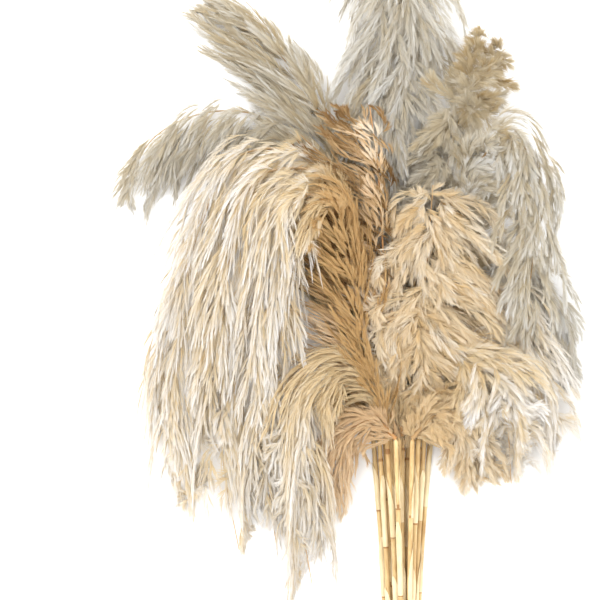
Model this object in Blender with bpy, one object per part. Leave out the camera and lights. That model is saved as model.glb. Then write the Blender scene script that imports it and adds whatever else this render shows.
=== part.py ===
"""A bundle of dried pampas grass, laid down on a flat surface.

Sixteen reeds grow along +Y. Each reed is two pieces: a bare stalk, from its cut end to the
neck of the bundle, and the plume that it carries. At the cut ends the stalks lie packed in
four rows, one on another. Past the neck the plumes fan out, bend over and lie on each other
and on the surface. Lengths are in millimetres here, +Z is up, and the surface is at Z = 0.
"""

import math

import bpy
import numpy as np
from mathutils import Vector

MM = 0.001

# Driving dimensions
STALK_LENGTH = 450.0  # from the cut end to the neck, where the bare stalk ends
STALK_RADIUS = 3.6
STALK_SIDES = 8
STALK_STEP = 75.0  # distance between the sections of a stalk
CUT_STAGGER = 6.0  # how much one stalk is cut shorter than the next
PACK_GAP = 0.4  # free space between two stalks of a row at the cut ends
CUT_ROW_HEIGHT = 6.5  # height of one row of stalks over the next there, where they nest
NECK_ROW_HEIGHT = 17.0  # height of one row of plumes over the next at the neck
PLUME_BASE = 5.5  # half the width of a plume where it leaves its stalk
PLUME_TIP = 3.0  # half the width at its tip
PLUME_SIDES = 10
PLUME_STEP = 42.0  # distance between the sections of a plume
UNDERSIDE = 0.75  # how deep a plume is below its middle, as a share of its depth above
SEAT = 0.3  # free space between a stalk and its plume
PRESS_GAP = 0.35  # free space left where one plume presses into another
NECK_PLACE = Vector((75.0, -148.0, 0.0))  # the neck, seen from under the middle of the bundle

# Rows of reeds at the neck and at the cut ends, from the surface up, each from left to right.
ROWS = (
    ("left", "upper_left", "top", "upper_right", "right_upper", "right_far"),
    ("left_outer", "left_middle", "centre", "front", "right"),
    ("left_inner", "left_low", "right_low"),
    ("left_short", "right_short"),
)

# Each plume: where it leaves its stalk (across), then its line as (across, along, height of
# its underside), how far its branches reach to the left and right of that line, its depth
# above the line, and the share of its length where it is first and last full width.
PLUMES = {
    "left": {
        "neck": -42,
        "line": [(-65, 145, 0), (-95, 285, 0), (-135, 405, 0), (-205, 470, 0), (-295, 475, 0),
                 (-365, 440, 0), (-412, 350, 0)],
        "reach": (75, 26), "depth": 27, "full": (0.42, 0.76),
    },
    "upper_left": {
        "neck": -25,
        "line": [(-40, 145, 0), (-65, 285, 0), (-100, 425, 0), (-155, 530, 0), (-215, 600, 0),
                 (-275, 650, 0)],
        "reach": (80, 24), "depth": 28, "full": (0.50, 0.80),
    },
    "top": {
        "neck": -8,
        "line": [(-8, 155, 0), (-6, 300, 0), (-4, 445, 0), (0, 585, 0), (0, 745, 0)],
        "reach": (88, 80), "depth": 33, "full": (0.55, 0.80),
    },
    "upper_right": {
        "neck": 9,
        "line": [(22, 155, 0), (48, 300, 0), (72, 430, 44), (100, 520, 48), (132, 580, 30)],
        "reach": (46, 50), "depth": 24, "full": (0.60, 0.84),
    },
    "right_upper": {
        "neck": 26,
        "line": [(45, 155, 20), (80, 300, 34), (112, 405, 74), (150, 445, 84), (180, 385, 88),
                 (182, 270, 86), (168, 155, 78)],
        "reach": (40, 58), "depth": 22, "full": (0.50, 0.78),
    },
    "right_far": {
        "neck": 42,
        "line": [(60, 145, 0), (100, 240, 0), (156, 264, 0), (208, 224, 0), (238, 152, 0),
                 (250, 82, 0)],
        "reach": (28, 48), "depth": 22, "full": (0.44, 0.72),
    },
    "left_outer": {
        "neck": -34,
        "line": [(-75, 170, 22), (-105, 315, 30), (-160, 415, 52), (-235, 410, 50),
                 (-295, 310, 22), (-325, 170, 0), (-332, 15, 0), (-305, -120, 0)],
        "reach": (54, 42), "depth": 25, "full": (0.42, 0.78),
    },
    "left_middle": {
        "neck": -17,
        "line": [(-55, 155, 24), (-88, 295, 34), (-135, 385, 84), (-200, 380, 96),
                 (-248, 270, 62), (-266, 100, 24), (-262, -45, 8), (-240, -170, 0)],
        "reach": (50, 44), "depth": 25, "full": (0.44, 0.80),
    },
    "centre": {
        "neck": 0,
        "line": [(-18, 115, 44), (-28, 215, 72), (-34, 315, 80), (-40, 400, 78), (-50, 478, 70)],
        "reach": (105, 34), "depth": 14, "full": (0.34, 0.80),
    },
    "front": {
        "neck": 15,
        "line": [(22, 115, 50), (28, 215, 74), (34, 295, 84), (40, 365, 80)],
        "reach": (50, 52), "depth": 18, "full": (0.44, 0.80),
    },
    "right": {
        "neck": 32,
        "line": [(55, 130, 22), (95, 205, 32), (145, 200, 52), (182, 135, 34), (206, 55, 10),
                 (220, -28, 0)],
        "reach": (38, 50), "depth": 20, "full": (0.44, 0.78),
    },
    "left_inner": {
        "neck": -24,
        "line": [(-60, 170, 78), (-88, 270, 96), (-124, 345, 120), (-165, 345, 134),
                 (-188, 250, 96), (-196, 100, 54), (-198, -50, 22), (-184, -170, 0)],
        "reach": (44, 42), "depth": 23, "full": (0.52, 0.82),
    },
    "left_low": {
        "neck": -6,
        "line": [(-42, 80, 44), (-92, 108, 54), (-136, 75, 62), (-152, -15, 58), (-148, -115, 34),
                 (-132, -222, 0)],
        "reach": (44, 40), "depth": 20, "full": (0.42, 0.78),
    },
    "right_low": {
        "neck": 22,
        "line": [(48, 80, 44), (84, 122, 56), (122, 100, 70), (148, 30, 42), (162, -72, 0)],
        "reach": (36, 46), "depth": 18, "full": (0.46, 0.78),
    },
    "left_short": {
        "neck": -12,
        "line": [(-42, 26, 54), (-76, 14, 44), (-98, -30, 24), (-112, -105, 0)],
        "reach": (30, 26), "depth": 13, "full": (0.42, 0.74),
    },
    "right_short": {
        "neck": 12,
        "line": [(42, 32, 54), (76, 30, 44), (102, -10, 22), (120, -66, 0)],
        "reach": (28, 34), "depth": 14, "full": (0.42, 0.74),
    },
}

STALK_COLOUR = (0.62, 0.40, 0.20)
PLUME_COLOUR = (0.83, 0.73, 0.58)


def smooth_line(points, step):
    """Points about one step apart on a Catmull-Rom curve through the given points."""
    given = np.array(points, float)
    spans = np.linalg.norm(np.diff(given, axis=0), axis=1)
    reach = np.concatenate([[0.0], np.cumsum(spans)])
    slopes = np.gradient(given, reach, axis=0)
    fine = np.linspace(0.0, reach[-1], max(3, round(reach[-1] / step) + 1))
    at = np.clip(np.searchsorted(reach, fine, side="right") - 1, 0, len(spans) - 1)
    t = ((fine - reach[at]) / spans[at])[:, None]
    h = spans[at][:, None]
    return (
        (2 * t**3 - 3 * t**2 + 1) * given[at]
        + (t**3 - 2 * t**2 + t) * h * slopes[at]
        + (3 * t**2 - 2 * t**3) * given[at + 1]
        + (t**3 - t**2) * h * slopes[at + 1]
    )


def sections(line, left, right, above, below, sides, neck_end):
    """Rings of points round a line, each level from side to side and square to the line. The ring
    at the neck is square to +Y, so that a stalk's end and its plume's base lie face to face."""
    ahead = np.gradient(line, axis=0)
    ahead[neck_end] = (0.0, 1.0, 0.0)
    ahead /= np.linalg.norm(ahead, axis=1)[:, None]
    side = np.cross(ahead, (0.0, 0.0, 1.0))
    side /= np.linalg.norm(side, axis=1)[:, None]
    up = np.cross(side, ahead)
    angle = np.arange(sides) * 2 * math.pi / sides
    across = (right - left)[:, None] / 2 + (right + left)[:, None] / 2 * np.cos(angle)
    rise = np.where(np.sin(angle) > 0, above[:, None], below[:, None]) * np.sin(angle)
    return line[:, None] + side[:, None] * across[..., None] + up[:, None] * rise[..., None]


def skin(name, rings):
    """A closed mesh of triangles over a row of rings, with a flat cap at each end."""
    count, sides = rings.shape[:2]
    place = rings.reshape(-1, 3) + np.array(NECK_PLACE)
    here = np.arange((count - 1) * sides).reshape(-1, sides)
    beside = np.roll(here, -1, axis=1)
    faces = np.concatenate([
        np.stack([here, beside + sides, beside], axis=2).reshape(-1, 3),
        np.stack([here, here + sides, beside + sides], axis=2).reshape(-1, 3),
    ]).tolist()
    faces.append(tuple(range(sides)))
    faces.append(tuple(reversed(range((count - 1) * sides, count * sides))))
    mesh = bpy.data.meshes.new(name)
    mesh.from_pydata((place * MM).tolist(), [], faces)
    mesh.shade_smooth()
    mesh.set_sharp_from_angle(angle=math.radians(50))
    return mesh


def finish(name, colour, roughness):
    """A plain dry finish."""
    material = bpy.data.materials.new(name)
    material.use_nodes = True
    shader = material.node_tree.nodes["Principled BSDF"]
    shader.inputs["Base Color"].default_value = (*colour, 1.0)
    shader.inputs["Roughness"].default_value = roughness
    shader.inputs["Metallic"].default_value = 0.0
    return material


def place(name, mesh, material):
    piece = bpy.data.objects.new(name, mesh)
    bpy.context.scene.collection.objects.link(piece)
    if material:
        mesh.materials.append(material)
    return piece


def cut_end(row, column):
    """The middle of a stalk at the cut ends, where the rows nest in each other."""
    spacing = 2 * STALK_RADIUS + PACK_GAP
    across = (column - (len(ROWS[row]) - 1) / 2) * spacing
    if (len(ROWS[0]) - len(ROWS[row]) - row) % 2:
        across += spacing / 2
    height = STALK_RADIUS + row * CUT_ROW_HEIGHT
    shorter = CUT_STAGGER * ((row + 2 * column) % 3)
    return (across, -STALK_LENGTH + shorter, height)


def neck_point(row, across):
    return (across, 0.0, PLUME_BASE + row * NECK_ROW_HEIGHT)


def swelling(share, full):
    """How far a plume has opened: 0 at its base, 1 where it is full width."""
    rising = np.clip(share / full[0], 0, 1)
    return rising**2 * (3 - 2 * rising)


def narrowing(share, full):
    """How much of that width is left: 1 until it starts to close, 0 at the tip."""
    closing = np.clip((share - full[1]) / (1 - full[1]), 0, 1)
    return np.sqrt(1 - closing**2)


def half_sizes(share, size, full):
    """Half a plume's width or depth along its length."""
    open_size = PLUME_BASE + (size - PLUME_BASE) * swelling(share, full)
    return PLUME_TIP + (open_size - PLUME_TIP) * narrowing(share, full)


def plume_line(row, plume):
    """The middle of a plume, raised from the heights of its underside."""
    start = neck_point(row, plume["neck"])
    floor = [(start[0], start[1], start[2] - PLUME_BASE)] + plume["line"]
    line = smooth_line(floor, PLUME_STEP)
    share = np.linspace(0, 1, len(line))
    depth = half_sizes(share, plume["depth"], plume["full"])
    line[:, 2] = np.maximum(line[:, 2], 0) + depth * np.where(share > 0, UNDERSIDE, 1.0)
    return line, share, depth


def plume_mesh(name, row, plume, grow=0.0):
    line, share, depth = plume_line(row, plume)
    line[0, 1] += SEAT if grow == 0 else -grow
    left, right = (half_sizes(share, reach, plume["full"]) + grow for reach in plume["reach"])
    below = depth * UNDERSIDE + grow
    rings = sections(line, left, right, depth + grow, below, PLUME_SIDES, neck_end=0)
    if grow == 0:
        rings[..., 2] = np.maximum(rings[..., 2], 0)
    return skin(name, rings)


def stalk_mesh(name, row, column, plume):
    """A bare stalk from its cut end up to the base of its plume."""
    start, end = np.array(cut_end(row, column)), np.array(neck_point(row, plume["neck"]))
    middle = start * 0.45 + end * 0.55
    middle[0] = start[0] * 0.62 + end[0] * 0.38
    line = smooth_line([start, middle, end], STALK_STEP)
    radius = np.full(len(line), STALK_RADIUS)
    rings = sections(line, radius, radius, radius, radius, STALK_SIDES, neck_end=-1)
    return skin(name, rings)


def press_against(piece, others):
    """Lets a plume give way to those under it, which keep their shape."""
    for other in others:
        cut = piece.modifiers.new("press_" + other.name, "BOOLEAN")
        cut.operation = "DIFFERENCE"
        cut.solver = "EXACT"
        cut.object = other


def boxes_meet(one, two):
    low_1, high_1 = np.min(one.bound_box, axis=0), np.max(one.bound_box, axis=0)
    low_2, high_2 = np.min(two.bound_box, axis=0), np.max(two.bound_box, axis=0)
    return bool((low_1 < high_2).all() and (low_2 < high_1).all())


def main():
    for piece in list(bpy.data.objects):
        bpy.data.objects.remove(piece)
    stalk_finish = finish("dry_stalk", STALK_COLOUR, 0.55)
    plume_finish = finish("dry_plume", PLUME_COLOUR, 0.9)
    below = []
    for row, names in enumerate(ROWS):
        for column, name in enumerate(names):
            plume = PLUMES[name]
            stalk = stalk_mesh("stalk_" + name, row, column, plume)
            place("stalk_" + name, stalk, stalk_finish)
            mesh = plume_mesh("plume_" + name, row, plume)
            piece = place("plume_" + name, mesh, plume_finish)
            press_against(piece, [other for other in below if boxes_meet(piece, other)])
            helper = place("room_for_" + name, plume_mesh("room", row, plume, PRESS_GAP), None)
            helper.hide_render = True
            helper.display_type = "WIRE"
            below.append(helper)


main()
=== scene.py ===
"""A bundle of dried pampas grass, laid down on a pale floor and seen from straight above.

Each of the sixteen reeds is a bare stalk and a plume. The stalks are round reeds with nodes,
papery sheaths and hollow cut ends. A plume is a thin stem with dozens to hundreds of branches.
Each branch has a few locks, and each lock is a soft spine that carries dozens of fine barbs. The
stems follow the same lines as the solid model's plumes, so the lines are repeated here:
millimetres from the neck of the bundle, across it, along it and up.
"""

import math

import bpy
import numpy as np
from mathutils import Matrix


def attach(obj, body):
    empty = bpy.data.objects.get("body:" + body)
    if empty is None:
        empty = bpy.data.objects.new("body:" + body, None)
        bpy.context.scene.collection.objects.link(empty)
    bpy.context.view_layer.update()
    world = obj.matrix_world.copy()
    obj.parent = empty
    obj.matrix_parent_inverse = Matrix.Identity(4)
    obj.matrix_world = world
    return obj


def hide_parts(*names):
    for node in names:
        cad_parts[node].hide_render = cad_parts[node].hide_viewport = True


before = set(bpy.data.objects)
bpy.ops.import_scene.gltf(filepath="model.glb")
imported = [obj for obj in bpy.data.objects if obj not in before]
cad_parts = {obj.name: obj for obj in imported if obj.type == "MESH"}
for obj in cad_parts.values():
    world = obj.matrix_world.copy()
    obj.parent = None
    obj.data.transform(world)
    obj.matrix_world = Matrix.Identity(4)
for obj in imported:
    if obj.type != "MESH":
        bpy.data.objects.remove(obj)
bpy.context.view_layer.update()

MM = 0.001

# The bundle, as in the solid model
NECK_PLACE = np.array([75.0, -148.0, 0.0])
NECK_ROW_HEIGHT = 17.0
PLUME_BASE = 5.5  # half a plume's width and depth where it begins
PLUME_TIP = 3.0  # and where it ends
UNDERSIDE = 0.75  # depth below a plume's line, as a share of the depth above it
STALK_LENGTH = 450.0
STALK_RADIUS = 3.6
CUT_STAGGER = 6.0  # how much shorter one reed is cut than the next
CUT_ROW_HEIGHT = 6.5  # how far apart rows of reeds lie at their cut ends
PACK_GAP = 0.4  # between the reeds of a row
ROWS = (
    ("left", "upper_left", "top", "upper_right", "right_upper", "right_far"),
    ("left_outer", "left_middle", "centre", "front", "right"),
    ("left_inner", "left_low", "right_low"),
    ("left_short", "right_short"),
)

# Hanging hair gathers in tails: the heights where that begins and is complete, the gap from tail
# to tail, where one of them hangs, how strongly it gathers, and how much higher it ends between
LEFT_TAILS = {"high": -50.0, "low": -270.0, "gap": 71.0, "first": -232.0,
              "strength": 0.82, "lift": 54.0}
RIGHT_TAILS = {"high": -50.0, "low": -210.0, "gap": 52.0, "first": 190.0,
               "strength": 0.85, "lift": 40.0}
TAIL_SPREAD = 16.0  # how much longer one tail is than another
TAIL_RHYTHM = 0.37  # and how fast that changes from tail to tail

# What the plumes' fields mean:
# neck - where the stem passes the neck, across
# line - points on the stem: across, along, height of the plume's underside
# reach - how far the hair reaches to the left and to the right of the line
# depth - how far it reaches above the line
# full - the shares of the length where the plume is first and last full width
# locks - how many there are
# length - of the longest branch
# hair - length of a barb
# spread - how far barbs stand off their lock, in degrees
# follow - how much a branch runs along the stem, or back along it below 0
# drift - which way it hangs: across, along
# pale - the shares of the length between which the deep colour of the base gives way
# blend - the name of the colour blend
# tone - near the base, at a lock's root, at its tip, and how much they vary
# wild - how many degrees one branch may turn away from the next
# and only where they are given:
# heart_and_painted_light - how much paler the hair is over the stem, partly as painted light
# end - how much paler it is near the plume's tip, or darker below 0
# deep - how much darker it is inside the plume, as painted shade
# brush - the share of the length after which branches run on along the stem again
# tails - how its hanging ends gather
PLUMES = {
    "left": {
        "neck": -42,
        "line": [(-65, 145, 0), (-95, 285, 0), (-135, 405, 0), (-205, 470, 0), (-295, 475, 0),
                 (-365, 440, 0), (-412, 350, 0)],
        "reach": (75, 26), "depth": 27, "full": (0.42, 0.76),
        "locks": 1100, "length": 170, "hair": 28, "spread": 7, "follow": 0.75,
        "drift": (-0.08, -0.75), "pale": (0.34, 0.56), "blend": "ash",
        "tone": (0.40, 0.50, 0.78, 0.06), "wild": 7,
    },
    "upper_left": {
        "neck": -25,
        "line": [(-40, 145, 0), (-65, 285, 0), (-100, 425, 0), (-155, 530, 0), (-215, 600, 0),
                 (-275, 650, 0)],
        "reach": (80, 24), "depth": 28, "full": (0.50, 0.80),
        "locks": 1300, "length": 160, "hair": 28, "spread": 8, "follow": 1.15,
        "drift": (-0.45, 0.00), "pale": (0.34, 0.60), "blend": "ash",
        "tone": (0.20, 0.44, 0.74, 0.07), "wild": 11,
    },
    "top": {
        "neck": -8,
        "line": [(-8, 155, 0), (-6, 300, 0), (-4, 445, 0), (0, 585, 0), (0, 745, 0)],
        "reach": (88, 80), "depth": 33, "full": (0.55, 0.80),
        "locks": 1850, "length": 170, "hair": 27, "spread": 13, "follow": -0.8,
        "drift": (0.00, -0.25), "pale": (0.14, 0.32), "blend": "ash",
        "tone": (0.70, 0.54, 0.78, 0.07), "wild": 22,
    },
    "upper_right": {
        "neck": 9,
        "line": [(22, 155, 0), (48, 300, 0), (72, 430, 44), (100, 520, 48), (132, 580, 30)],
        "reach": (46, 50), "depth": 24, "full": (0.60, 0.84),
        "locks": 1350, "length": 90, "hair": 25, "spread": 20, "follow": -0.5,
        "drift": (0.15, -0.40), "pale": (0.20, 0.45), "blend": "ash",
        "tone": (0.60, 0.54, 0.66, 0.07), "wild": 24,
        "end": -0.22, "brush": 0.80,
    },
    "right_upper": {
        "neck": 26,
        "line": [(45, 155, 20), (80, 300, 34), (112, 405, 74), (150, 445, 84), (180, 385, 88),
                 (182, 270, 86), (168, 155, 78)],
        "reach": (40, 58), "depth": 22, "full": (0.50, 0.78),
        "locks": 1150, "length": 160, "hair": 27, "spread": 11, "follow": 0.55,
        "drift": (0.10, -0.90), "pale": (0.24, 0.44), "blend": "ash",
        "tone": (0.30, 0.46, 0.82, 0.06), "wild": 9,
        "tails": RIGHT_TAILS,
    },
    "right_far": {
        "neck": 42,
        "line": [(60, 145, 0), (100, 240, 0), (156, 264, 0), (208, 224, 0), (238, 152, 0),
                 (250, 82, 0)],
        "reach": (28, 48), "depth": 22, "full": (0.44, 0.72),
        "locks": 700, "length": 150, "hair": 27, "spread": 11, "follow": 0.75,
        "drift": (0.05, -0.90), "pale": (0.24, 0.44), "blend": "ash",
        "tone": (0.38, 0.58, 0.84, 0.06), "wild": 8,
        "tails": RIGHT_TAILS,
    },
    "left_outer": {
        "neck": -34,
        "line": [(-75, 170, 22), (-105, 315, 30), (-160, 415, 52), (-235, 410, 50),
                 (-295, 310, 22), (-325, 170, 0), (-332, 15, 0), (-305, -120, 0)],
        "reach": (54, 42), "depth": 25, "full": (0.42, 0.78),
        "locks": 1450, "length": 190, "hair": 29, "spread": 6, "follow": 0.8,
        "drift": (-0.12, -0.90), "pale": (0.26, 0.40), "blend": "cream",
        "tone": (0.26, 0.50, 0.82, 0.05), "wild": 7,
        "tails": LEFT_TAILS,
    },
    "left_middle": {
        "neck": -17,
        "line": [(-55, 155, 24), (-88, 295, 34), (-135, 385, 84), (-200, 380, 96), (-248, 270, 62),
                 (-266, 100, 24), (-262, -45, 8), (-240, -170, 0)],
        "reach": (50, 44), "depth": 25, "full": (0.44, 0.80),
        "locks": 1450, "length": 190, "hair": 29, "spread": 6, "follow": 0.8,
        "drift": (-0.08, -0.90), "pale": (0.28, 0.41), "blend": "cream",
        "tone": (0.22, 0.48, 0.82, 0.05), "wild": 7,
        "tails": LEFT_TAILS,
    },
    "centre": {
        "neck": 0,
        "line": [(-18, 115, 44), (-28, 215, 72), (-34, 315, 80), (-40, 400, 78), (-50, 478, 70)],
        "reach": (105, 34), "depth": 14, "full": (0.34, 0.80),
        "locks": 1150, "length": 170, "hair": 22, "spread": 6, "follow": 0.85,
        "drift": (-0.42, -0.05), "pale": (0.26, 0.52), "blend": "gold",
        "tone": (0.78, 0.28, 0.26, 0.07), "wild": 10,
        "heart_and_painted_light": 0.36, "deep": 0.28, "end": 0.08,
    },
    "front": {
        "neck": 15,
        "line": [(22, 115, 50), (28, 215, 74), (34, 295, 84), (40, 365, 80)],
        "reach": (50, 52), "depth": 18, "full": (0.44, 0.80),
        "locks": 1150, "length": 150, "hair": 25, "spread": 15, "follow": -0.55,
        "drift": (0.55, -0.40), "pale": (0.10, 0.40), "blend": "straw",
        "tone": (0.48, 0.52, 0.76, 0.08), "wild": 40,
        "brush": 0.94,
    },
    "right": {
        "neck": 32,
        "line": [(55, 130, 22), (95, 205, 32), (145, 200, 52), (182, 135, 34), (206, 55, 10),
                 (220, -28, 0)],
        "reach": (38, 50), "depth": 20, "full": (0.44, 0.78),
        "locks": 900, "length": 160, "hair": 27, "spread": 11, "follow": 0.75,
        "drift": (0.15, -0.80), "pale": (0.24, 0.60), "blend": "cream",
        "tone": (0.38, 0.54, 0.82, 0.06), "wild": 16,
        "tails": RIGHT_TAILS,
    },
    "left_inner": {
        "neck": -24,
        "line": [(-60, 170, 78), (-88, 270, 96), (-124, 345, 120), (-165, 345, 134),
                 (-188, 250, 96), (-196, 100, 54), (-198, -50, 22), (-184, -170, 0)],
        "reach": (44, 42), "depth": 23, "full": (0.52, 0.82),
        "locks": 1450, "length": 190, "hair": 28, "spread": 6, "follow": 0.8,
        "drift": (0.06, -0.90), "pale": (0.31, 0.43), "blend": "cream",
        "tone": (0.16, 0.50, 0.82, 0.06), "wild": 7,
        "tails": LEFT_TAILS,
    },
    "left_low": {
        "neck": -6,
        "line": [(-42, 80, 44), (-92, 108, 54), (-136, 75, 62), (-152, -15, 58), (-148, -115, 34),
                 (-132, -222, 0)],
        "reach": (44, 40), "depth": 20, "full": (0.42, 0.78),
        "locks": 1000, "length": 210, "hair": 28, "spread": 6, "follow": 1.15,
        "drift": (-0.20, -0.30), "pale": (0.16, 0.50), "blend": "cream",
        "tone": (0.42, 0.52, 0.80, 0.05), "wild": 7,
        "tails": LEFT_TAILS,
    },
    "right_low": {
        "neck": 22,
        "line": [(48, 80, 44), (84, 122, 56), (122, 100, 70), (148, 30, 42), (162, -72, 0)],
        "reach": (36, 46), "depth": 18, "full": (0.46, 0.78),
        "locks": 950, "length": 110, "hair": 25, "spread": 12, "follow": 0.65,
        "drift": (0.22, -0.60), "pale": (0.20, 0.60), "blend": "cream",
        "tone": (0.38, 0.54, 0.84, 0.07), "wild": 26,
        "tails": RIGHT_TAILS,
    },
    "left_short": {
        "neck": -12,
        "line": [(-42, 26, 54), (-76, 14, 44), (-98, -30, 24), (-112, -105, 0)],
        "reach": (30, 26), "depth": 13, "full": (0.42, 0.74),
        "locks": 400, "length": 120, "hair": 25, "spread": 7, "follow": 0.95,
        "drift": (-0.15, -0.40), "pale": (0.10, 0.60), "blend": "gold",
        "tone": (0.54, 0.60, 0.84, 0.05), "wild": 10,
    },
    "right_short": {
        "neck": 12,
        "line": [(42, 32, 54), (76, 30, 44), (102, -10, 22), (120, -66, 0)],
        "reach": (28, 34), "depth": 14, "full": (0.42, 0.74),
        "locks": 460, "length": 90, "hair": 24, "spread": 14, "follow": 0.8,
        "drift": (0.15, -0.40), "pale": (0.10, 0.60), "blend": "straw",
        "tone": (0.48, 0.56, 0.82, 0.07), "wild": 24,
    },
}

# How finely a plume is drawn
LOCKS_ON_A_BRANCH = 7
BARBS_ON_A_LOCK = 50
CORE_STEP = 6.0
SPINE_STEPS = 12
LOCK_STEPS = 7
RUN_ON_STEPS = 19  # how far the stem's line is run on past its tip, for the last branches

# How branches stand and hang
OVER_THE_EDGE = 1.12  # how far the longest branches reach past the outline of the solid plume
TIP_OVERHANG = 12.0  # and past its tip
EDGE_ROOM = 26.0  # and how much further any branch may be turned out
BUSHY = 0.55  # branches stand out sooner than the solid plumes swell
SPLAY = 0.60  # how far branches stand out near the base, where the plume is thin
UPPER_SHARE = 0.78  # how many of the branches lie over the stem
BRUSH_FOLLOW = 0.35  # how much a branch in the brush at the tip runs along the stem
WAVINESS = 0.025  # how far a branch waves to the side, as a share of its length
SAG = -0.22  # how much of a branch's hang is downwards
FLOOR_SOFTENING = 5.0  # hair lower than this lies flat on the floor instead of going through it

# Locks and barbs
BRANCH_WIDTH = 9.0  # how far a lock stands off the middle of its branch
BARB_WIDTH = 0.80
STRAYS = 0.03  # how many of the barbs stand out from their lock

# Tones, along the colour blends: hair from the deepest to the palest, then the stems
DEEPEST = 0.02
PALEST = 0.86
STEM_TONE = 0.90
STEM_TONES = 0.09  # how far the tones round a stem differ
HEART_AND_PAINTED_LIGHT_WIDTH = 0.26  # how far the paler hair over a stem, partly painted light, reaches, as a share of half the plume
PAINTED_INNER_SHADE = 0.05  # painted shade: how much darker hair is inside a plume
END_BEGINS = 0.62  # the share of the length from which the tip has its own tone

# Stems and stalks
STEM_RADIUS = 3.3
STEM_TAPER = 2.7  # how much less its radius is at the tip
STEM_SIDES = 8
STALK_SIDES = 18
STALK_STEP = 4.0
NODE_GAP = 128.0
NODE_HALF_WIDTH = 3.2
SWELLING = 2.6  # how far along a reed the swelling at a node reaches
WAIST_PLACE = 7.0  # how far past a node a reed is thinnest, and how far that reaches
WAIST_WIDTH = 5.0
HOLLOW = 0.52  # of a reed's radius, at its cut end
HOLLOW_DEPTH = 14.0
SHEATH_STEPS = 26
SHEATH_SIDES = 14
SHEATH_COVER = 300  # degrees of the reed that a sheath wraps at its node
SHORTEST_SHEATH = 30


# ---------------------------------------------------------------------------------------------
# Lines and frames
# ---------------------------------------------------------------------------------------------

def smooth_line(points, step):
    """Points about one step apart on a Catmull-Rom curve through the given points."""
    given = np.array(points, float)
    spans = np.linalg.norm(np.diff(given, axis=0), axis=1)
    reach = np.concatenate([[0.0], np.cumsum(spans)])
    slopes = np.gradient(given, reach, axis=0)
    fine = np.linspace(0.0, reach[-1], max(3, round(reach[-1] / step) + 1))
    at = np.clip(np.searchsorted(reach, fine, side="right") - 1, 0, len(spans) - 1)
    t = ((fine - reach[at]) / spans[at])[:, None]
    h = spans[at][:, None]
    return (
        (2 * t**3 - 3 * t**2 + 1) * given[at]
        + (t**3 - 2 * t**2 + t) * h * slopes[at]
        + (3 * t**2 - 2 * t**3) * given[at + 1]
        + (t**3 - t**2) * h * slopes[at + 1]
    )


def unit(vectors):
    return vectors / np.maximum(np.linalg.norm(vectors, axis=-1, keepdims=True), 1e-9)


def ease(value):
    """A smooth step from 0 to 1."""
    value = np.clip(value, 0, 1)
    return value**2 * (3 - 2 * value)


def half_sizes(share, size, full, early=1.0):
    """Half a plume's width or depth at shares of its length.

    It swells by a smooth step to full size, sooner where early is under 1, and past the last full
    place it closes as the square root of 1 - t squared, like an arc."""
    closing = np.clip((share - full[1]) / (1 - full[1]), 0, 1)
    open_size = PLUME_BASE + (size - PLUME_BASE) * ease(share / full[0]) ** early
    return PLUME_TIP + (open_size - PLUME_TIP) * np.sqrt(1 - closing**2)


def level_frame(line):
    """Ahead, level side and up at each point of a line."""
    ahead = unit(np.gradient(line, axis=0))
    side = unit(np.cross(ahead, (0.0, 0.0, 1.0)))
    return ahead, side, np.cross(side, ahead)


def plume_core(row, plume):
    """The middle line of a plume with its frame and half sizes, run on a little past the tip."""
    neck = (plume["neck"], 0.0, row * NECK_ROW_HEIGHT)
    line = smooth_line([neck] + plume["line"], CORE_STEP)
    share = np.linspace(0, 1, len(line))
    depth = half_sizes(share, plume["depth"], plume["full"])
    line[:, 2] = np.maximum(line[:, 2], 0) + depth * UNDERSIDE
    left, right = (half_sizes(share, reach, plume["full"], BUSHY) for reach in plume["reach"])
    ahead, side, up = level_frame(line)
    on = np.arange(1, RUN_ON_STEPS + 1)[:, None] * CORE_STEP
    line = np.concatenate([line, line[-1] + ahead[-1] * on]) + NECK_PLACE
    kept = [np.concatenate([part, np.repeat(part[-1:], len(on), axis=0)])
            for part in (ahead, side, up, left, right, depth)]
    arc = np.concatenate([[0.0], np.cumsum(np.linalg.norm(np.diff(line, axis=0), axis=1))])
    core = dict(zip(("ahead", "side", "up", "left", "right", "depth"), kept))
    core.update(arc=arc, tip=arc[-1 - len(on)], line=line)
    return core


def read_core(core, what, at):
    """One of a core's properties at any array of distances along it."""
    table = core[what]
    if table.ndim == 1:
        return np.interp(at, core["arc"], table)
    return np.stack([np.interp(at, core["arc"], table[:, i]) for i in range(3)], axis=-1)


# ---------------------------------------------------------------------------------------------
# Locks and barbs
# ---------------------------------------------------------------------------------------------

def branch_spans(core, plume, rng):
    """Where each branch of a plume starts and ends along the stem, and its facts: its full run,
    how full the plume is there, and its swing, which is how much it drifts across the stem.

    Branches are spread in proportion to the plume's width plus three tenths of its greatest.
    The more a branch swings across the stem, the less far it runs along it."""
    count = plume["locks"] // LOCKS_ON_A_BRANCH
    widths = core["left"] + core["right"]
    weight = np.cumsum(np.where(core["arc"] <= core["tip"], widths + 0.3 * widths.max(), 0.0))
    pick = (np.arange(count) + rng.random(count)) / count
    middle = np.interp(pick, weight / weight[-1], core["arc"])
    fullness = read_core(core, "depth", middle) / plume["depth"]
    run = plume["length"] * rng.uniform(0.45, 1.0, count) * (0.5 + 0.5 * fullness)
    level = unit(np.array([*plume["drift"], 0.0]))
    with_stem = (read_core(core, "ahead", middle) * level).sum(axis=-1)
    swing = 1 - 0.85 * np.abs(with_stem) ** 1.5
    in_brush = middle > plume.get("brush", 1.0) * core["tip"]
    along = run * np.where(in_brush, BRUSH_FOLLOW, plume["follow"]) * (1 - 0.55 * swing)
    furthest = core["tip"] + TIP_OVERHANG * rng.random(count)
    start = np.clip(middle - 0.45 * along, 0, core["tip"])
    end = np.clip(start + along, 0, furthest)
    return start, end, {"run": run, "fullness": fullness, "swing": swing}


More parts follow.
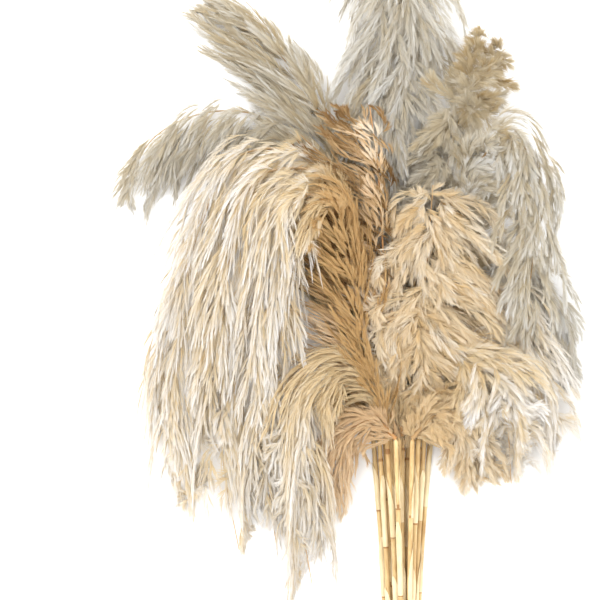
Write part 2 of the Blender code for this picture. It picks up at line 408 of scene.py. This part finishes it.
def branch_places(core, start, rng):
    """Each branch's own place in the cross-section: across, from -1 at the left edge to 1 at the
    right; above, which is 1 over the stem and below 0 under it; and shell, up to 1 at the skin."""
    left, right = read_core(core, "left", start), read_core(core, "right", start)
    place = rng.random(len(start)) * (left + right) - left
    across = np.where(place < 0, place / left, place / right)
    above = np.where(rng.random(len(start)) < UPPER_SHARE, 1.0, -UNDERSIDE)
    shell = np.sqrt(rng.uniform(0.12, 1.0, len(start)))
    return across, above, shell


def branch_offsets(core, plume, across, facts, at, t, rng):
    """How far each branch lies to the side of the stem at each step, the plume's half width
    there, and how far the branch has grown out.

    It grows out as 1 - (1 - t)^p. A turn by a random angle, the splay near the base and a sine
    wave are added, and the hyperbolic tangent keeps the sum inside the room at the edge."""
    run, fullness = facts["run"], facts["fullness"]
    count = len(run)
    half = np.where(across[:, None] < 0, read_core(core, "left", at), read_core(core, "right", at))
    half = np.maximum(half, 0.5 * half[:, :1])
    grown = 1 - (1 - t) ** rng.uniform(1.2, 2.2, count)[:, None]
    inner = rng.uniform(0.20, 0.85, count)[:, None]
    outer = rng.uniform(0.88, OVER_THE_EDGE, count)[:, None]
    off = across[:, None] * half * (inner + (outer - inner) * grown)
    turn = plume["wild"] * np.clip(rng.normal(0, 1, count), -1.8, 1.8)
    off += (run * np.tan(np.radians(turn)))[:, None] * t
    off += (SPLAY * across * run * (1 - fullness))[:, None] * t
    wave = rng.uniform(-WAVINESS, WAVINESS, count)[:, None] * run[:, None]
    off += wave * np.sin(t * rng.uniform(3, 6, count)[:, None])
    room = OVER_THE_EDGE * half + EDGE_ROOM
    return room * np.tanh(off / room), half, grown


def branch_spines(core, plume, rng):
    """The spines of a plume's branches, as an array of branch by step by xyz, with their facts.

    A branch starts inside the plume, between the stem and its own place in the cross-section,
    and moves out to that place, so it leaves at an angle and ends nearly parallel. It hangs over
    by the plume's drift times t^1.5, less where the stem runs that way already."""
    start, end, facts = branch_spans(core, plume, rng)
    across, above, shell = branch_places(core, start, rng)
    t = np.linspace(0, 1, SPINE_STEPS)[None, :]
    at = start[:, None] + (end - start)[:, None] * t
    spine, side, up = (read_core(core, what, at) for what in ("line", "side", "up"))
    off, half, grown = branch_offsets(core, plume, across, facts, at, t, rng)
    round_place = np.sqrt(1 - across**2)
    high = (above * shell * round_place)[:, None] * read_core(core, "depth", at)
    spine += side * off[..., None] + up * (high * (0.35 + 0.65 * grown))[..., None]
    pull = facts["run"] * rng.uniform(0.5, 1.0, len(start)) * (0.3 + 0.7 * facts["fullness"])
    pull = (pull * facts["swing"])[:, None]
    spine += np.array([*plume["drift"], SAG]) * (pull * t**1.5)[..., None]
    outward = unit(side * across[:, None, None] + up * (above * round_place)[:, None, None])
    facts = {"fullness": facts["fullness"], "share": start / core["tip"], "shell": shell,
             "outward": outward, "beside": (off / half)[..., None]}
    return spine, facts


def along_spines(table, t):
    """Values of a spine-by-step table at fractions t of each spine, with t's own shape."""
    place = np.clip(t, 0, 1) * (table.shape[1] - 1)
    low = np.minimum(place.astype(int), table.shape[1] - 2)
    part = (place - low)[..., None]
    which = np.arange(len(table)).reshape((-1,) + (1,) * (t.ndim - 1))
    return table[which, low] * (1 - part) + table[which, low + 1] * part


def lock_spines(branch, facts, rng):
    """The spines of the locks on every branch, and the branches' facts handed on to them.

    Locks start one after another along a branch and leave it to the left and right by turns, as
    t^0.8 times the branch's width. The last one ends near the branch's own tip."""
    count, locks = len(branch), LOCKS_ON_A_BRANCH
    begin = (np.arange(locks) + rng.uniform(-0.4, 0.4, (count, locks))) / locks * 0.78
    begin = np.clip(begin, 0, 1)[..., None]
    part = rng.uniform(0.26, 0.42, (count, locks, 1))
    t = np.linspace(0, 1, LOCK_STEPS)
    at = begin + np.minimum(part, 1 - begin) * t
    spine, outward = along_spines(branch, at), along_spines(facts["outward"], at)
    ahead = unit(along_spines(np.gradient(branch, axis=1), at))
    flat = unit(np.cross(ahead, outward))
    turns = np.where(np.arange(locks) % 2 == 0, 1.0, -1.0) * rng.uniform(0.2, 1.2, (count, locks))
    size = BRANCH_WIDTH * (0.4 + 0.6 * facts["fullness"])[:, None, None] * (1.1 - begin)
    spine = spine + flat * (turns[..., None] * size * t**0.8)[..., None]
    spine += outward * (rng.uniform(-0.5, 0.9, (count, locks, 1)) * size * t)[..., None]
    passed = {what: np.repeat(facts[what], locks) for what in ("fullness", "share", "shell")}
    passed["beside"] = along_spines(facts["beside"], at).reshape(-1, LOCK_STEPS, 1)
    passed["begin"] = begin.reshape(-1)
    passed["branch"] = np.repeat(rng.normal(0, 1, count), locks)
    passed["outward"] = outward.reshape(-1, LOCK_STEPS, 3)
    return spine.reshape(-1, LOCK_STEPS, 3), passed


def barb_blades(spine, facts, plume, rng):
    """Fine blades along every lock: four corners each, and how far along the lock each starts.

    A barb leaves its lock at an angle up to the plume's spread, in any direction round it, and
    turns back towards it by its tip. It is widest at its middle. The angle and the length both
    shrink towards the end of the lock, which makes the lock pointed. A few barbs stray."""
    count, barbs = len(spine), BARBS_ON_A_LOCK
    t = ((np.arange(barbs) + rng.random((count, barbs))) / barbs) ** 0.85
    root = along_spines(spine, t)
    ahead = unit(along_spines(np.gradient(spine, axis=1), t))
    outward = along_spines(facts["outward"], t)
    flat = unit(np.cross(ahead, outward))
    stray = rng.random(t.shape) < STRAYS
    angle = np.radians(plume["spread"]) * (1.5 - 1.0 * t) * rng.uniform(0.2, 1.5, t.shape)
    angle = np.where(stray, angle * 2.2, angle)
    turn = rng.uniform(0, 2 * math.pi, t.shape)
    off = flat * np.cos(turn)[..., None] + outward * (0.6 * np.sin(turn))[..., None]
    aim = unit(ahead * np.cos(angle)[..., None] + off * np.sin(angle)[..., None])
    size = (facts["fullness"] * 0.4 + 0.6)[:, None]
    length = plume["hair"] * size * rng.uniform(0.55, 1.15, t.shape) * (1.05 - 0.50 * t)
    length = np.where(stray, length * 1.3, length)
    later = unit(aim * 0.75 + ahead * 0.35 + rng.normal(0, 0.08, aim.shape))
    middle = root + aim * (length * 0.5)[..., None]
    tip = middle + later * (length * 0.5)[..., None]
    facing = unit(outward + 0.5 * rng.normal(0, 1, aim.shape) + (0.0, 0.0, 0.45))
    wide = BARB_WIDTH / 2 * rng.uniform(0.6, 1.2, t.shape) * np.where(stray, 0.5, 1.0)
    broad = unit(np.cross(facing, aim)) * wide[..., None]
    corners = np.stack([root, middle + broad, middle - broad, tip], axis=2)
    return corners.reshape(-1, 4, 3), t


def barb_tones(t, facts, plume, rng):
    """The tone of every barb, from the deepest to the palest.

    It rises from a lock's root tone to its tip tone, and fades in over the base tone between the
    plume's pale shares. The tip has a tone of its own, hair inside the plume is darker as painted
    shade, and the bell curve exp(-x^2) makes it paler over the stem, partly as painted light."""
    base_tone, root_tone, tip_tone, vary = plume["tone"]
    first, last = plume["pale"]
    grown = ease((facts["share"] - first) / (last - first))[:, None]
    ripe = 0.55 * t + 0.45 * facts["begin"][:, None]
    tone = root_tone + (tip_tone - root_tone) * ripe
    tone += vary * (0.7 * facts["branch"] + 0.6 * rng.normal(0, 1, len(t)))[:, None]
    tone = base_tone + (tone - base_tone) * (0.15 + 0.85 * grown)
    near_tip = ease((facts["share"] - END_BEGINS) / (1 - END_BEGINS))
    tone += plume.get("end", 0.0) * near_tip[:, None]
    # painted shade: hair further inside the plume is darker
    tone -= plume.get("deep", PAINTED_INNER_SHADE) * (1 - facts["shell"])[:, None]
    # partly painted light: hair over the stem, which lies in shade, is made paler
    beside = along_spines(facts["beside"], t)[..., 0]
    tone += plume.get("heart_and_painted_light", 0.0) * np.exp(-((beside / HEART_AND_PAINTED_LIGHT_WIDTH) ** 2))
    tone += rng.normal(0, 0.035, t.shape)
    return np.clip(tone, DEEPEST, PALEST).reshape(-1)


def gather(points, tails):
    """Hanging hair drawn sideways into separate tails, more so the lower it hangs.

    Sideways, x moves to x - a sin(kx) / k, which crowds the hair where the cosine is one. Between
    the tails it also ends higher, by the same wave, and no two tails end at the same height."""
    down = ease((tails["high"] - points[..., 1]) / (tails["high"] - tails["low"]))
    turn = (points[..., 0] - tails["first"]) * 2 * math.pi / tails["gap"]
    points[..., 0] -= tails["strength"] * down * tails["gap"] / (2 * math.pi) * np.sin(turn)
    points[..., 1] += tails["lift"] * down * (1 - np.cos(turn)) / 2
    points[..., 1] += TAIL_SPREAD * down * np.sin(TAIL_RHYTHM * turn)
    return points


def settle(points):
    """Heights near the floor are pressed together above it, so that nothing goes through: below
    the softening height s, z becomes s times e^((z - s) / s)."""
    low = points[..., 2] < FLOOR_SOFTENING
    pressed = FLOOR_SOFTENING * np.exp((points[..., 2] - FLOOR_SOFTENING) / FLOOR_SOFTENING)
    points[..., 2] = np.where(low, pressed, points[..., 2])
    return points


def mesh_of(name, points, faces, places=None):
    """A smooth mesh of triangles from whole arrays, with a map of places for the colours if any."""
    mesh = bpy.data.meshes.new(name)
    mesh.vertices.add(len(points))
    mesh.vertices.foreach_set("co", (points * MM).astype(np.float32).ravel())
    mesh.loops.add(faces.size)
    mesh.loops.foreach_set("vertex_index", faces.astype(np.int32).ravel())
    mesh.polygons.add(len(faces))
    mesh.polygons.foreach_set("loop_start", np.arange(0, faces.size, 3, dtype=np.int32))
    mesh.update(calc_edges=True)
    if places is not None:
        layer = mesh.uv_layers.new(name="OFBake")
        layer.uv.foreach_set("vector", places[faces].astype(np.float32).ravel())
    mesh.shade_smooth()
    return mesh


def hair_mesh(corners, tone):
    """Blades as triangles. On the map, across is the barb's tone and up runs root to tip."""
    first = (np.arange(len(corners)) * 4)[:, None]
    faces = np.concatenate([first + (0, 1, 2), first + (2, 1, 3)])
    thin = 0.002
    across = tone[:, None] + np.array([0, -1, 1, 0]) * thin
    along = np.broadcast_to(np.array([0.02, 0.5, 0.5, 0.98]), across.shape)
    return corners.reshape(-1, 3), faces, np.stack([across, along], axis=-1).reshape(-1, 2)


def loft(centres, side, up, radius, sides, slant=None):
    """A round skin over rings with given middles, frames and radii. A slant moves each corner of
    a ring ahead by its own amount."""
    angle = np.arange(sides) * 2 * math.pi / sides
    rings = (centres[:, None] + side[:, None] * (radius[:, None] * np.cos(angle))[..., None]
             + up[:, None] * (radius[:, None] * np.sin(angle))[..., None])
    if slant is not None:
        rings = rings + slant
    here = np.arange((len(centres) - 1) * sides).reshape(-1, sides)
    beside = np.roll(here, -1, axis=1)
    faces = np.stack([here, beside + sides, beside, here, here + sides, beside + sides], axis=2)
    return rings.reshape(-1, 3), faces.reshape(-1, 3)


def stem_mesh(core):
    """The thin stem inside a plume, from its base to its tip, thinner by its share to the power
    of 0.6. Past its base it lies half a depth under the middle, so the hair covers it."""
    inside = core["arc"] <= core["tip"]
    share = core["arc"][inside] / core["tip"]
    radius = STEM_RADIUS - STEM_TAPER * share**0.6
    side, up = core["side"][inside], core["up"][inside]
    line = core["line"][inside] - up * (0.5 * ease(share / 0.3) * core["depth"][inside])[:, None]
    points, faces = loft(line, side, up, radius, STEM_SIDES)
    round_it = np.abs(np.linspace(-1, 1, STEM_SIDES))
    across = STEM_TONE + STEM_TONES * np.tile(round_it, len(line))
    along = np.repeat(share, STEM_SIDES)
    return points, faces, np.stack([across, along], axis=-1)


def show(name, mesh, replaced):
    """A finished piece: it rides on the root and takes the place of one solid."""
    piece = bpy.data.objects.new(name, mesh)
    bpy.context.scene.collection.objects.link(piece)
    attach(piece, "root")
    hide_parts(replaced)
    return piece


def plume_piece(name, row, plume, seed):
    """One plume: its barbs and its stem in one mesh."""
    rng = np.random.default_rng(seed)
    core = plume_core(row, plume)
    branch, facts = branch_spines(core, plume, rng)
    spine, facts = lock_spines(branch, facts, rng)
    if "tails" in plume:
        spine = gather(spine, plume["tails"])
    corners, t = barb_blades(spine, facts, plume, rng)
    points, faces, places = hair_mesh(corners, barb_tones(t, facts, plume, rng))
    stem_points, stem_faces, stem_places = stem_mesh(core)
    faces = np.concatenate([faces, stem_faces + len(points)])
    points = settle(np.concatenate([points, stem_points]))
    places = np.concatenate([places, stem_places])
    mesh = mesh_of("pampas_plume_" + name, points, faces, places)
    mesh.materials.append(finishes[plume["blend"]])
    return show("pampas_plume_" + name, mesh, "plume_" + name)


# ---------------------------------------------------------------------------------------------
# Stalks
# ---------------------------------------------------------------------------------------------

def stalk_line(row, column, neck):
    """The middle of a stalk, from its cut end to the base of its plume."""
    spacing = 2 * STALK_RADIUS + PACK_GAP
    across = (column - (len(ROWS[row]) - 1) / 2) * spacing
    if (len(ROWS[0]) - len(ROWS[row]) - row) % 2:
        across += spacing / 2
    shorter = CUT_STAGGER * ((row + 2 * column) % 3)
    start = np.array([across, -STALK_LENGTH + shorter, STALK_RADIUS + row * CUT_ROW_HEIGHT])
    end = np.array([neck, 0.0, PLUME_BASE + row * NECK_ROW_HEIGHT])
    middle = start * 0.45 + end * 0.55
    middle[0] = start[0] * 0.62 + end[0] * 0.38
    return smooth_line([start, middle, end], STALK_STEP) + NECK_PLACE


def reed_skin(line, nodes, rng):
    """A reed: a slanted, hollow cut end, then a slim round stalk that swells at its nodes.

    The radius is a little under full size, plus a bell curve at each node, less a wider one just
    past it. Each face has a kind: 0 reed, 1 node, 2 pith."""
    ahead, side, up = level_frame(line)
    arc = np.linspace(0, STALK_LENGTH, len(line))
    bulge = np.exp(-(((arc[:, None] - nodes) / SWELLING) ** 2)).sum(axis=1)
    waist = np.exp(-(((arc[:, None] - nodes - WAIST_PLACE) / WAIST_WIDTH) ** 2)).sum(axis=1)
    radius = STALK_RADIUS * (0.96 + 0.15 * bulge - 0.06 * waist + rng.normal(0, 0.006, len(arc)))
    radius[-1] = 0.4
    wall = STALK_RADIUS * np.array([0.02, HOLLOW * 0.9, HOLLOW, HOLLOW + 0.06, 0.90, 0.97])
    inward = np.array([HOLLOW_DEPTH, HOLLOW_DEPTH, 3.0, 0.0, 0.0, 0.5])
    rings = len(wall)
    centres = np.concatenate([line[:1] + ahead[:1] * inward[:, None], line[1:]])
    frame_axes = [np.concatenate([np.repeat(part[:1], rings, axis=0), part[1:]])
                  for part in (side, up)]
    radii = np.concatenate([wall, radius[1:]])
    angle = np.arange(STALK_SIDES) * 2 * math.pi / STALK_SIDES
    tilt = math.tan(math.radians(rng.uniform(6, 24)))
    lean = tilt * (1 + np.cos(angle - rng.uniform(0, 2 * math.pi)))
    cut = np.zeros(len(radii))
    cut[2:rings] = 1.0
    slant = (radii * cut)[:, None, None] * lean[None, :, None] * ahead[0]
    points, faces = loft(centres, *frame_axes, radii, STALK_SIDES, slant)
    ring = np.repeat(np.arange(len(centres) - 1), 2 * STALK_SIDES)
    band = np.abs(arc[1:][:, None] - nodes).min(axis=1) < NODE_HALF_WIDTH
    at_node = np.concatenate([np.zeros(rings, bool), band])
    kind = np.where(at_node[ring], 1, 0)
    kind[ring < rings - 2] = 2
    return points, faces, kind


def sheath_skin(line, start, length, rng):
    """A papery sheath round part of a reed: tight at its node, then opening to a ragged point. Its
    cover shrinks as 1 - 0.9 t^2.2, and it lifts off the reed as t^2, most at its two edges."""
    arc = np.linspace(0, STALK_LENGTH, len(line))
    steps, sides = SHEATH_STEPS, SHEATH_SIDES
    t = np.linspace(0, 1, steps)
    at = start + length * t
    middle, ahead = (np.stack([np.interp(at, arc, table[:, i]) for i in range(3)], axis=-1)
                     for table in (line, unit(np.gradient(line, axis=0))))
    side = unit(np.cross(ahead, (0.0, 0.0, 1.0)))
    up = np.cross(side, ahead)
    cover = math.radians(SHEATH_COVER) * (1 - 0.9 * t**2.2)
    face = rng.uniform(0, 2 * math.pi) + 0.8 * t
    spread = np.linspace(-0.5, 0.5, sides)
    angle = face[:, None] + cover[:, None] * spread + rng.normal(0, 0.03, (steps, sides))
    lift = 0.35 + 1.5 * t[:, None] ** 2 * (0.4 + 1.2 * np.abs(spread))
    radius = STALK_RADIUS * (1.02 - 0.05 * t)[:, None] + lift + rng.normal(0, 0.05, (steps, sides))
    rings = (middle[:, None] + side[:, None] * (radius * np.cos(angle))[..., None]
             + up[:, None] * (radius * np.sin(angle))[..., None])
    here = np.arange((steps - 1) * sides).reshape(-1, sides)[:, :-1]
    over = here + sides
    faces = np.stack([here, over + 1, here + 1, here, over, over + 1], axis=2)
    return rings.reshape(-1, 3), faces.reshape(-1, 3)


def stalk_piece(name, row, column, neck, seed):
    """One stalk: the reed, and a sheath above each node but the first where there is room."""
    rng = np.random.default_rng(seed)
    line = stalk_line(row, column, neck)
    nodes = rng.uniform(30, 100) + NODE_GAP * np.arange(4)
    nodes = nodes[nodes < STALK_LENGTH - 20]
    points, faces, kind = reed_skin(line, nodes, rng)
    for node in nodes[1:]:
        length = min(rng.uniform(60, 110), STALK_LENGTH - node - 12)
        if length > SHORTEST_SHEATH:
            more, their_faces = sheath_skin(line, node, length, rng)
            faces = np.concatenate([faces, their_faces + len(points)])
            points = np.concatenate([points, more])
            kind = np.concatenate([kind, np.full(len(their_faces), 3)])
    points[:, 2] = np.maximum(points[:, 2], 0.05)
    mesh = mesh_of("pampas_stalk_" + name, points, faces)
    mesh.polygons.foreach_set("material_index", kind.astype(np.int32))
    for part in ("reed", "node", "pith", "sheath"):
        mesh.materials.append(reed_finishes[part])
    return show("pampas_stalk_" + name, mesh, "stalk_" + name)


# ---------------------------------------------------------------------------------------------
# Finishes
# ---------------------------------------------------------------------------------------------

def colour(red, green, blue):
    """A colour given as it looks on a screen, 0 to 255, turned into linear light."""
    def linear(value):
        value /= 255
        return value / 12.92 if value <= 0.04045 else ((value + 0.055) / 1.055) ** 2.4
    return (linear(red), linear(green), linear(blue), 1.0)


# Colours at these places along each blend: five for hair, then two for the stem
BLEND_PLACES = (0.00, 0.22, 0.46, 0.66, PALEST, 0.89, 1.00)
BLENDS = {
    "cream": ((150, 108, 56), (214, 180, 124), (230, 212, 174), (238, 233, 225), (246, 246, 246),
              (216, 186, 144), (222, 194, 152)),
    "ash": ((136, 104, 58), (182, 156, 108), (204, 191, 163), (216, 211, 200), (230, 230, 229),
            (196, 168, 126), (206, 178, 134)),
    "straw": ((142, 104, 54), (208, 172, 114), (228, 205, 162), (234, 221, 197), (242, 238, 230),
              (216, 180, 130), (222, 188, 138)),
    "gold": ((96, 66, 30), (158, 122, 74), (216, 186, 140), (238, 216, 182), (246, 238, 222),
             (226, 176, 116), (232, 184, 126)),
}


def barb_shade_and_highlight_group():
    """Painted shade and highlight: a colour darker at a barb's root and brighter at its tip."""
    group = bpy.data.node_groups.new("barb_shade_and_highlight", "ShaderNodeTree")
    group.interface.new_socket("Color", in_out="INPUT", socket_type="NodeSocketColor")
    group.interface.new_socket("Along", in_out="INPUT", socket_type="NodeSocketFloat")
    group.interface.new_socket("Color", in_out="OUTPUT", socket_type="NodeSocketColor")
    nodes, links = group.nodes, group.links
    given, made = nodes.new("NodeGroupInput"), nodes.new("NodeGroupOutput")
    # painted shade and highlight: 0.88 times the colour at a barb's root, 1.02 times at its tip
    light = nodes.new("ShaderNodeMapRange")
    light.inputs["To Min"].default_value = 0.88
    light.inputs["To Max"].default_value = 1.02
    tinted = nodes.new("ShaderNodeVectorMath")
    tinted.operation = "SCALE"
    links.new(given.outputs["Along"], light.inputs["Value"])
    links.new(given.outputs["Color"], tinted.inputs[0])
    links.new(light.outputs["Result"], tinted.inputs["Scale"])
    links.new(tinted.outputs["Vector"], made.inputs["Color"])
    return group


def hair_finish(name, tints):
    """Dry silky hair: soft sheen, and some light shines through it."""
    material = bpy.data.materials.new(name)
    material.use_nodes = True
    nodes, links = material.node_tree.nodes, material.node_tree.links
    shader = nodes["Principled BSDF"]
    shader.inputs["Roughness"].default_value = 0.62
    shader.inputs["Sheen Weight"].default_value = 0.2
    shader.inputs["Sheen Roughness"].default_value = 0.4
    shader.inputs["Specular IOR Level"].default_value = 0.3
    where = nodes.new("ShaderNodeUVMap")
    where.uv_map = "OFBake"
    split = nodes.new("ShaderNodeSeparateXYZ")
    ramp = nodes.new("ShaderNodeValToRGB")
    band = ramp.color_ramp
    while len(band.elements) < len(tints):
        band.elements.new(0.5)
    for element, place, tint in zip(band.elements, BLEND_PLACES, tints):
        element.position = place
        element.color = colour(*tint)
    # painted shade at each barb's root and a painted highlight at its tip
    tinted = nodes.new("ShaderNodeGroup")
    tinted.node_tree = barb_shade_and_highlight
    through = nodes.new("ShaderNodeBsdfTranslucent")
    mix = nodes.new("ShaderNodeMixShader")
    mix.inputs["Fac"].default_value = 0.48
    links.new(where.outputs["UV"], split.inputs["Vector"])
    links.new(split.outputs["X"], ramp.inputs["Fac"])
    links.new(split.outputs["Y"], tinted.inputs["Along"])
    links.new(ramp.outputs["Color"], tinted.inputs["Color"])
    links.new(tinted.outputs["Color"], shader.inputs["Base Color"])
    links.new(tinted.outputs["Color"], through.inputs["Color"])
    links.new(shader.outputs["BSDF"], mix.inputs[1])
    links.new(through.outputs["BSDF"], mix.inputs[2])
    links.new(mix.outputs["Shader"], nodes["Material Output"].inputs["Surface"])
    return material


def fibre_group():
    """A shared effect: long fine streaks and soft blotches between two colours, along the reed."""
    group = bpy.data.node_groups.new("fibres", "ShaderNodeTree")
    group.interface.new_socket("Dark", in_out="INPUT", socket_type="NodeSocketColor")
    group.interface.new_socket("Light", in_out="INPUT", socket_type="NodeSocketColor")
    group.interface.new_socket("Color", in_out="OUTPUT", socket_type="NodeSocketColor")
    nodes, links = group.nodes, group.links
    given, made = nodes.new("NodeGroupInput"), nodes.new("NodeGroupOutput")
    where = nodes.new("ShaderNodeTexCoord")
    stretch = nodes.new("ShaderNodeMapping")
    stretch.inputs["Scale"].default_value = (1400.0, 22.0, 1400.0)
    streaks = nodes.new("ShaderNodeTexNoise")
    streaks.inputs["Scale"].default_value = 1.0
    streaks.inputs["Detail"].default_value = 4.0
    blotches = nodes.new("ShaderNodeTexNoise")
    blotches.inputs["Scale"].default_value = 26.0
    blotches.inputs["Detail"].default_value = 3.0
    both = nodes.new("ShaderNodeMath")
    both.operation = "ADD"
    level = nodes.new("ShaderNodeMapRange")
    level.inputs["From Min"].default_value = 0.70
    level.inputs["From Max"].default_value = 1.30
    mix = nodes.new("ShaderNodeMix")
    mix.data_type = "RGBA"
    links.new(where.outputs["Object"], stretch.inputs["Vector"])
    links.new(stretch.outputs["Vector"], streaks.inputs["Vector"])
    links.new(where.outputs["Object"], blotches.inputs["Vector"])
    links.new(streaks.outputs["Fac"], both.inputs[0])
    links.new(blotches.outputs["Fac"], both.inputs[1])
    links.new(both.outputs["Value"], level.inputs["Value"])
    links.new(level.outputs["Result"], mix.inputs["Factor"])
    links.new(given.outputs["Dark"], mix.inputs["A"])
    links.new(given.outputs["Light"], mix.inputs["B"])
    links.new(mix.outputs["Result"], made.inputs["Color"])
    return group


def reed_finish(name, dark, light, roughness):
    """Dry reed or papery sheath."""
    material = bpy.data.materials.new(name)
    material.use_nodes = True
    nodes, links = material.node_tree.nodes, material.node_tree.links
    shader = nodes["Principled BSDF"]
    shader.inputs["Roughness"].default_value = roughness
    shader.inputs["Specular IOR Level"].default_value = 0.4
    fibre = nodes.new("ShaderNodeGroup")
    fibre.node_tree = fibres
    fibre.inputs["Dark"].default_value = colour(*dark)
    fibre.inputs["Light"].default_value = colour(*light)
    links.new(fibre.outputs["Color"], shader.inputs["Base Color"])
    return material


barb_shade_and_highlight = barb_shade_and_highlight_group()
fibres = fibre_group()
finishes = {name: hair_finish("pampas_hair_" + name, tints) for name, tints in BLENDS.items()}
reed_finishes = {
    "reed": reed_finish("pampas_reed", (168, 128, 74), (220, 194, 142), 0.45),
    "node": reed_finish("pampas_reed_node", (122, 82, 42), (178, 132, 78), 0.55),
    "pith": reed_finish("pampas_reed_pith", (206, 184, 142), (238, 224, 192), 0.9),
    "sheath": reed_finish("pampas_reed_sheath", (200, 174, 126), (234, 218, 182), 0.6),
}


# ---------------------------------------------------------------------------------------------
# Camera, light and floor
# ---------------------------------------------------------------------------------------------

VIEW_CENTRE = (-0.0751, 0.0522, 0.080)
VIEW_SPAN = 0.858  # the width of the view at that height, in metres
LENS = 100.0
SENSOR = 36.0
SKY = 1.8
KEY_PLACE = (-0.9, 1.0, 2.4)
KEY_TURN = (math.radians(-24), math.radians(-20), 0)
KEY_SIZE = 1.2
KEY_POWER = 30
FLOOR_HALF = 4.0
FLOOR_HEIGHT = -0.0005
FLOOR_SHADE = 0.92


def set_up_view():
    """A camera straight above the bundle."""
    camera = bpy.data.cameras.new("camera")
    camera.lens = LENS
    camera.sensor_width = SENSOR
    holder = bpy.data.objects.new("camera", camera)
    away = VIEW_SPAN * LENS / SENSOR
    holder.location = (VIEW_CENTRE[0], VIEW_CENTRE[1], VIEW_CENTRE[2] + away)
    bpy.context.scene.collection.objects.link(holder)
    bpy.context.scene.camera = holder


def set_up_light():
    """An even white sky, and one soft lamp above the top left."""
    world = bpy.data.worlds.new("studio")
    world.use_nodes = True
    sky = world.node_tree.nodes["Background"]
    sky.inputs["Color"].default_value = (1.0, 1.0, 1.0, 1.0)
    sky.inputs["Strength"].default_value = SKY
    bpy.context.scene.world = world
    light = bpy.data.lights.new("key", "AREA")
    light.size = KEY_SIZE
    light.energy = KEY_POWER
    holder = bpy.data.objects.new("key", light)
    holder.location = KEY_PLACE
    holder.rotation_euler = KEY_TURN
    bpy.context.scene.collection.objects.link(holder)
    bpy.context.scene.view_settings.view_transform = "Standard"


def set_up_floor():
    """A plain pale floor, just under the bundle."""
    mesh = bpy.data.meshes.new("floor")
    half = FLOOR_HALF
    mesh.from_pydata([(-half, -half, 0), (half, -half, 0), (half, half, 0), (-half, half, 0)], [],
                     [(0, 1, 2, 3)])
    material = bpy.data.materials.new("floor")
    material.use_nodes = True
    shader = material.node_tree.nodes["Principled BSDF"]
    shader.inputs["Base Color"].default_value = (FLOOR_SHADE, FLOOR_SHADE, FLOOR_SHADE, 1.0)
    shader.inputs["Roughness"].default_value = 0.9
    shader.inputs["Specular IOR Level"].default_value = 0.1
    mesh.materials.append(material)
    floor = bpy.data.objects.new("floor", mesh)
    floor.location = (0, 0, FLOOR_HEIGHT)
    bpy.context.scene.collection.objects.link(floor)


set_up_view()
set_up_light()
set_up_floor()
for row, names in enumerate(ROWS):
    for column, name in enumerate(names):
        plume = PLUMES[name]
        plume_piece(name, row, plume, seed=100 * row + column)
        stalk_piece(name, row, column, plume["neck"], seed=100 * row + column + 50)
